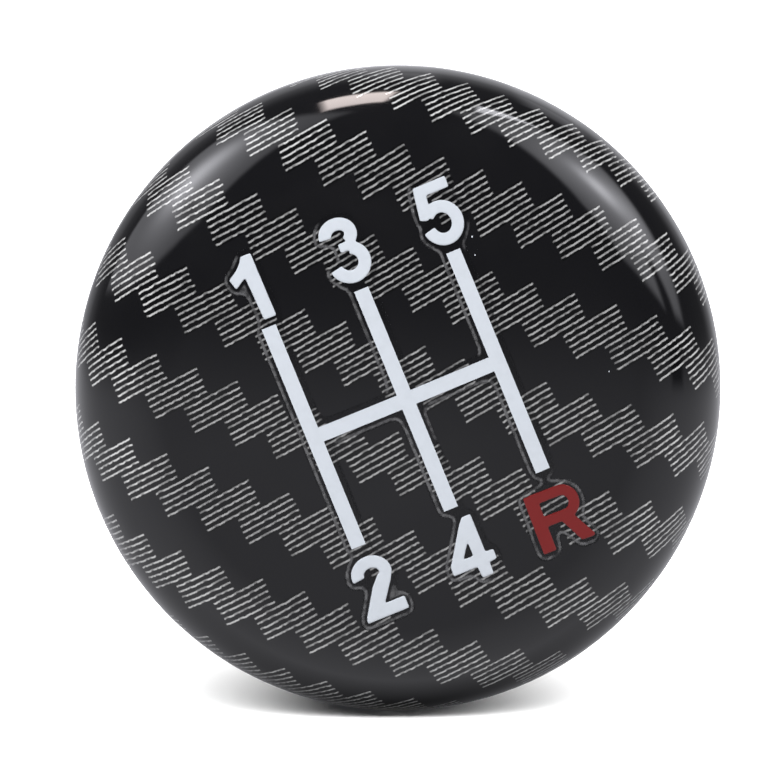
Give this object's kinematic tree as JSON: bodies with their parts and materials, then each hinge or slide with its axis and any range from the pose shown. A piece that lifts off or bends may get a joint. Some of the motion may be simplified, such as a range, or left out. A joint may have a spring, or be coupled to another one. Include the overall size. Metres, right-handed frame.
{
  "type": "gear shift knob",
  "caption": "Round gear shift knob: black carbon-look moulded head with a white shift gate and numerals, and a metal collar that clamps on a threaded lever bush.",
  "frame": {"origin": "centre of the collar's flat foot, on the lever's axis", "axes": "+Z along the lever's axis towards the face of the knob, +Y the lever's forward throw (first, third and fifth gear), +X to the right of the gate"},
  "size_m": [0.05, 0.05, 0.0526],
  "materials": {
    "carbon_print": "moulded plastic, black with a printed twill in thin grey lines under clear lacquer",
    "white_ink": "white transfer ink under clear film",
    "red_ink": "dull red transfer ink under clear film",
    "clear_film": "clear edge of the transfer that carries the marks",
    "black_anodised": "turned and black anodised, satin",
    "bare_aluminium": "turned, bare",
    "black_steel": "black oxide"
  },
  "bodies": {
    "root": {"knob_head": "carbon_print", "gate_print": "white_ink", "base_collar": "black_anodised", "thread_bush": "bare_aluminium", "set_screws": "black_steel"}
  },
  "joints": []
}
